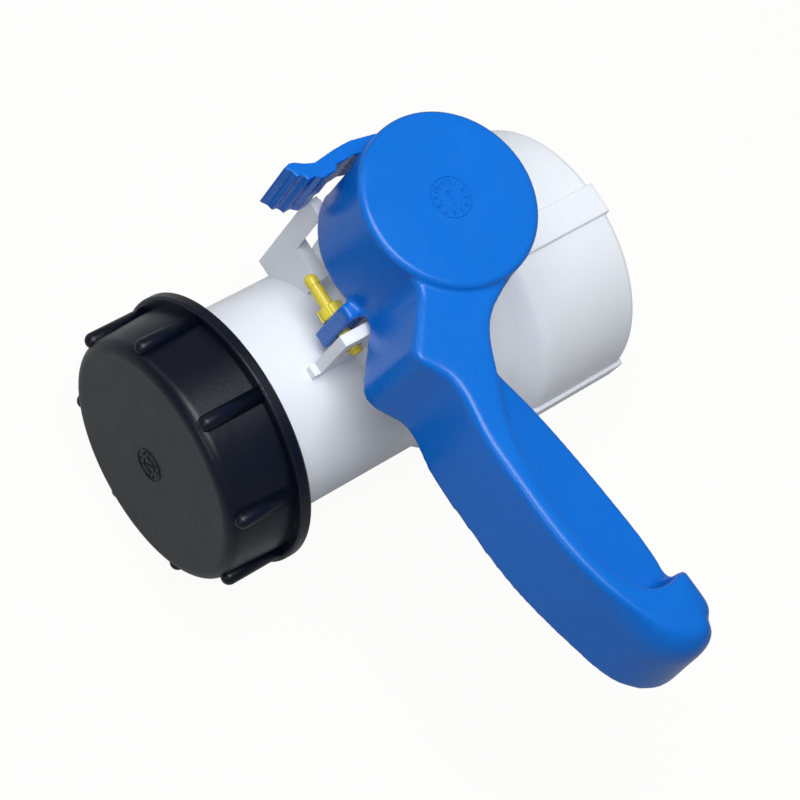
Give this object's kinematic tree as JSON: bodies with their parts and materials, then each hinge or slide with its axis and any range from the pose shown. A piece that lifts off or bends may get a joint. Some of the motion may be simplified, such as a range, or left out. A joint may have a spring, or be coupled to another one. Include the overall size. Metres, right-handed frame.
{
  "type": "tank outlet ball valve",
  "caption": "Plastic ball valve for a liquid tank: screw-on inlet socket, quarter-turn lever with side latch and lock screw, and a ribbed screw cap on the outlet.",
  "frame": {"origin": "centre of the tank-side end face, on the pipe axis", "axes": "+Y along the pipe towards the tank, outlet towards -Y, +Z along the stem towards the lever, +X along the closed lever"},
  "size_m": [0.2544, 0.2227, 0.1957],
  "materials": {
    "body_plastic": "natural, satin",
    "blue_plastic": "satin",
    "black_plastic": "fine grained",
    "yellow_plastic": "satin",
    "seat_plastic": "smooth",
    "retainer_plastic": "satin",
    "ball_plastic": "smooth",
    "stem_plastic": "satin",
    "seal_rubber": "matte",
    "steel": "stainless"
  },
  "bodies": {
    "body": {"valve_body": "body_plastic", "front_seat": "seat_plastic", "rear_seat": "seat_plastic", "seat_retainer": "retainer_plastic", "retainer_ring": "seal_rubber", "inlet_gasket": "seal_rubber", "stem_bush": "seat_plastic"},
    "lever": {"handle": "blue_plastic", "stem": "stem_plastic", "ball": "ball_plastic", "cross_pin": "steel", "stem_clip": "steel", "lower_stem_ring": "seal_rubber", "upper_stem_ring": "seal_rubber", "thrust_washer": "seat_plastic", "latch_pin": "steel", "latch_spring": "steel"},
    "latch": {"latch": "blue_plastic"},
    "collar": {"screw_collar": "yellow_plastic"},
    "lock_screw": {"lock_screw": "yellow_plastic"},
    "cap_seal": {"cap_gasket": "seal_rubber"},
    "cap": {"screw_cap": "black_plastic"}
  },
  "joints": [
    {"name": "lever_turn", "type": "hinge", "parent": "body", "child": "lever", "pos_m": [0, -0.11, 0], "axis": [0, 0, -1], "range_deg": [0, 90]},
    {"name": "latch_swing", "type": "hinge", "parent": "lever", "child": "latch", "pos_m": [-0.0435, -0.1, 0.1], "axis": [0, 0, -1], "range_deg": [-4, 7], "stiffness_Nm_per_rad": 0.3},
    {"name": "screw_travel", "type": "slide", "parent": "lever", "child": "collar", "axis": [-1, 0, 0], "range_m": [0, 0.014]},
    {"name": "screw_turn", "type": "hinge", "parent": "collar", "child": "lock_screw", "pos_m": [0, -0.1484, 0.0686], "axis": [-1, 0, 0], "range_deg": [0, 2520]},
    {"name": "cap_travel", "type": "slide", "parent": "body", "child": "cap_seal", "axis": [0, -1, 0], "range_m": [0, 0.032]},
    {"name": "cap_turn", "type": "hinge", "parent": "cap_seal", "child": "cap", "pos_m": [0, -0.2, 0], "axis": [0, -1, 0], "range_deg": [0, 1440]}
  ],
  "couplings": [
    {"joint": "screw_turn", "follows": "screw_travel", "rad_per_m": 3141.6},
    {"joint": "cap_travel", "follows": "cap_turn", "m_per_rad": 0.0012732}
  ]
}
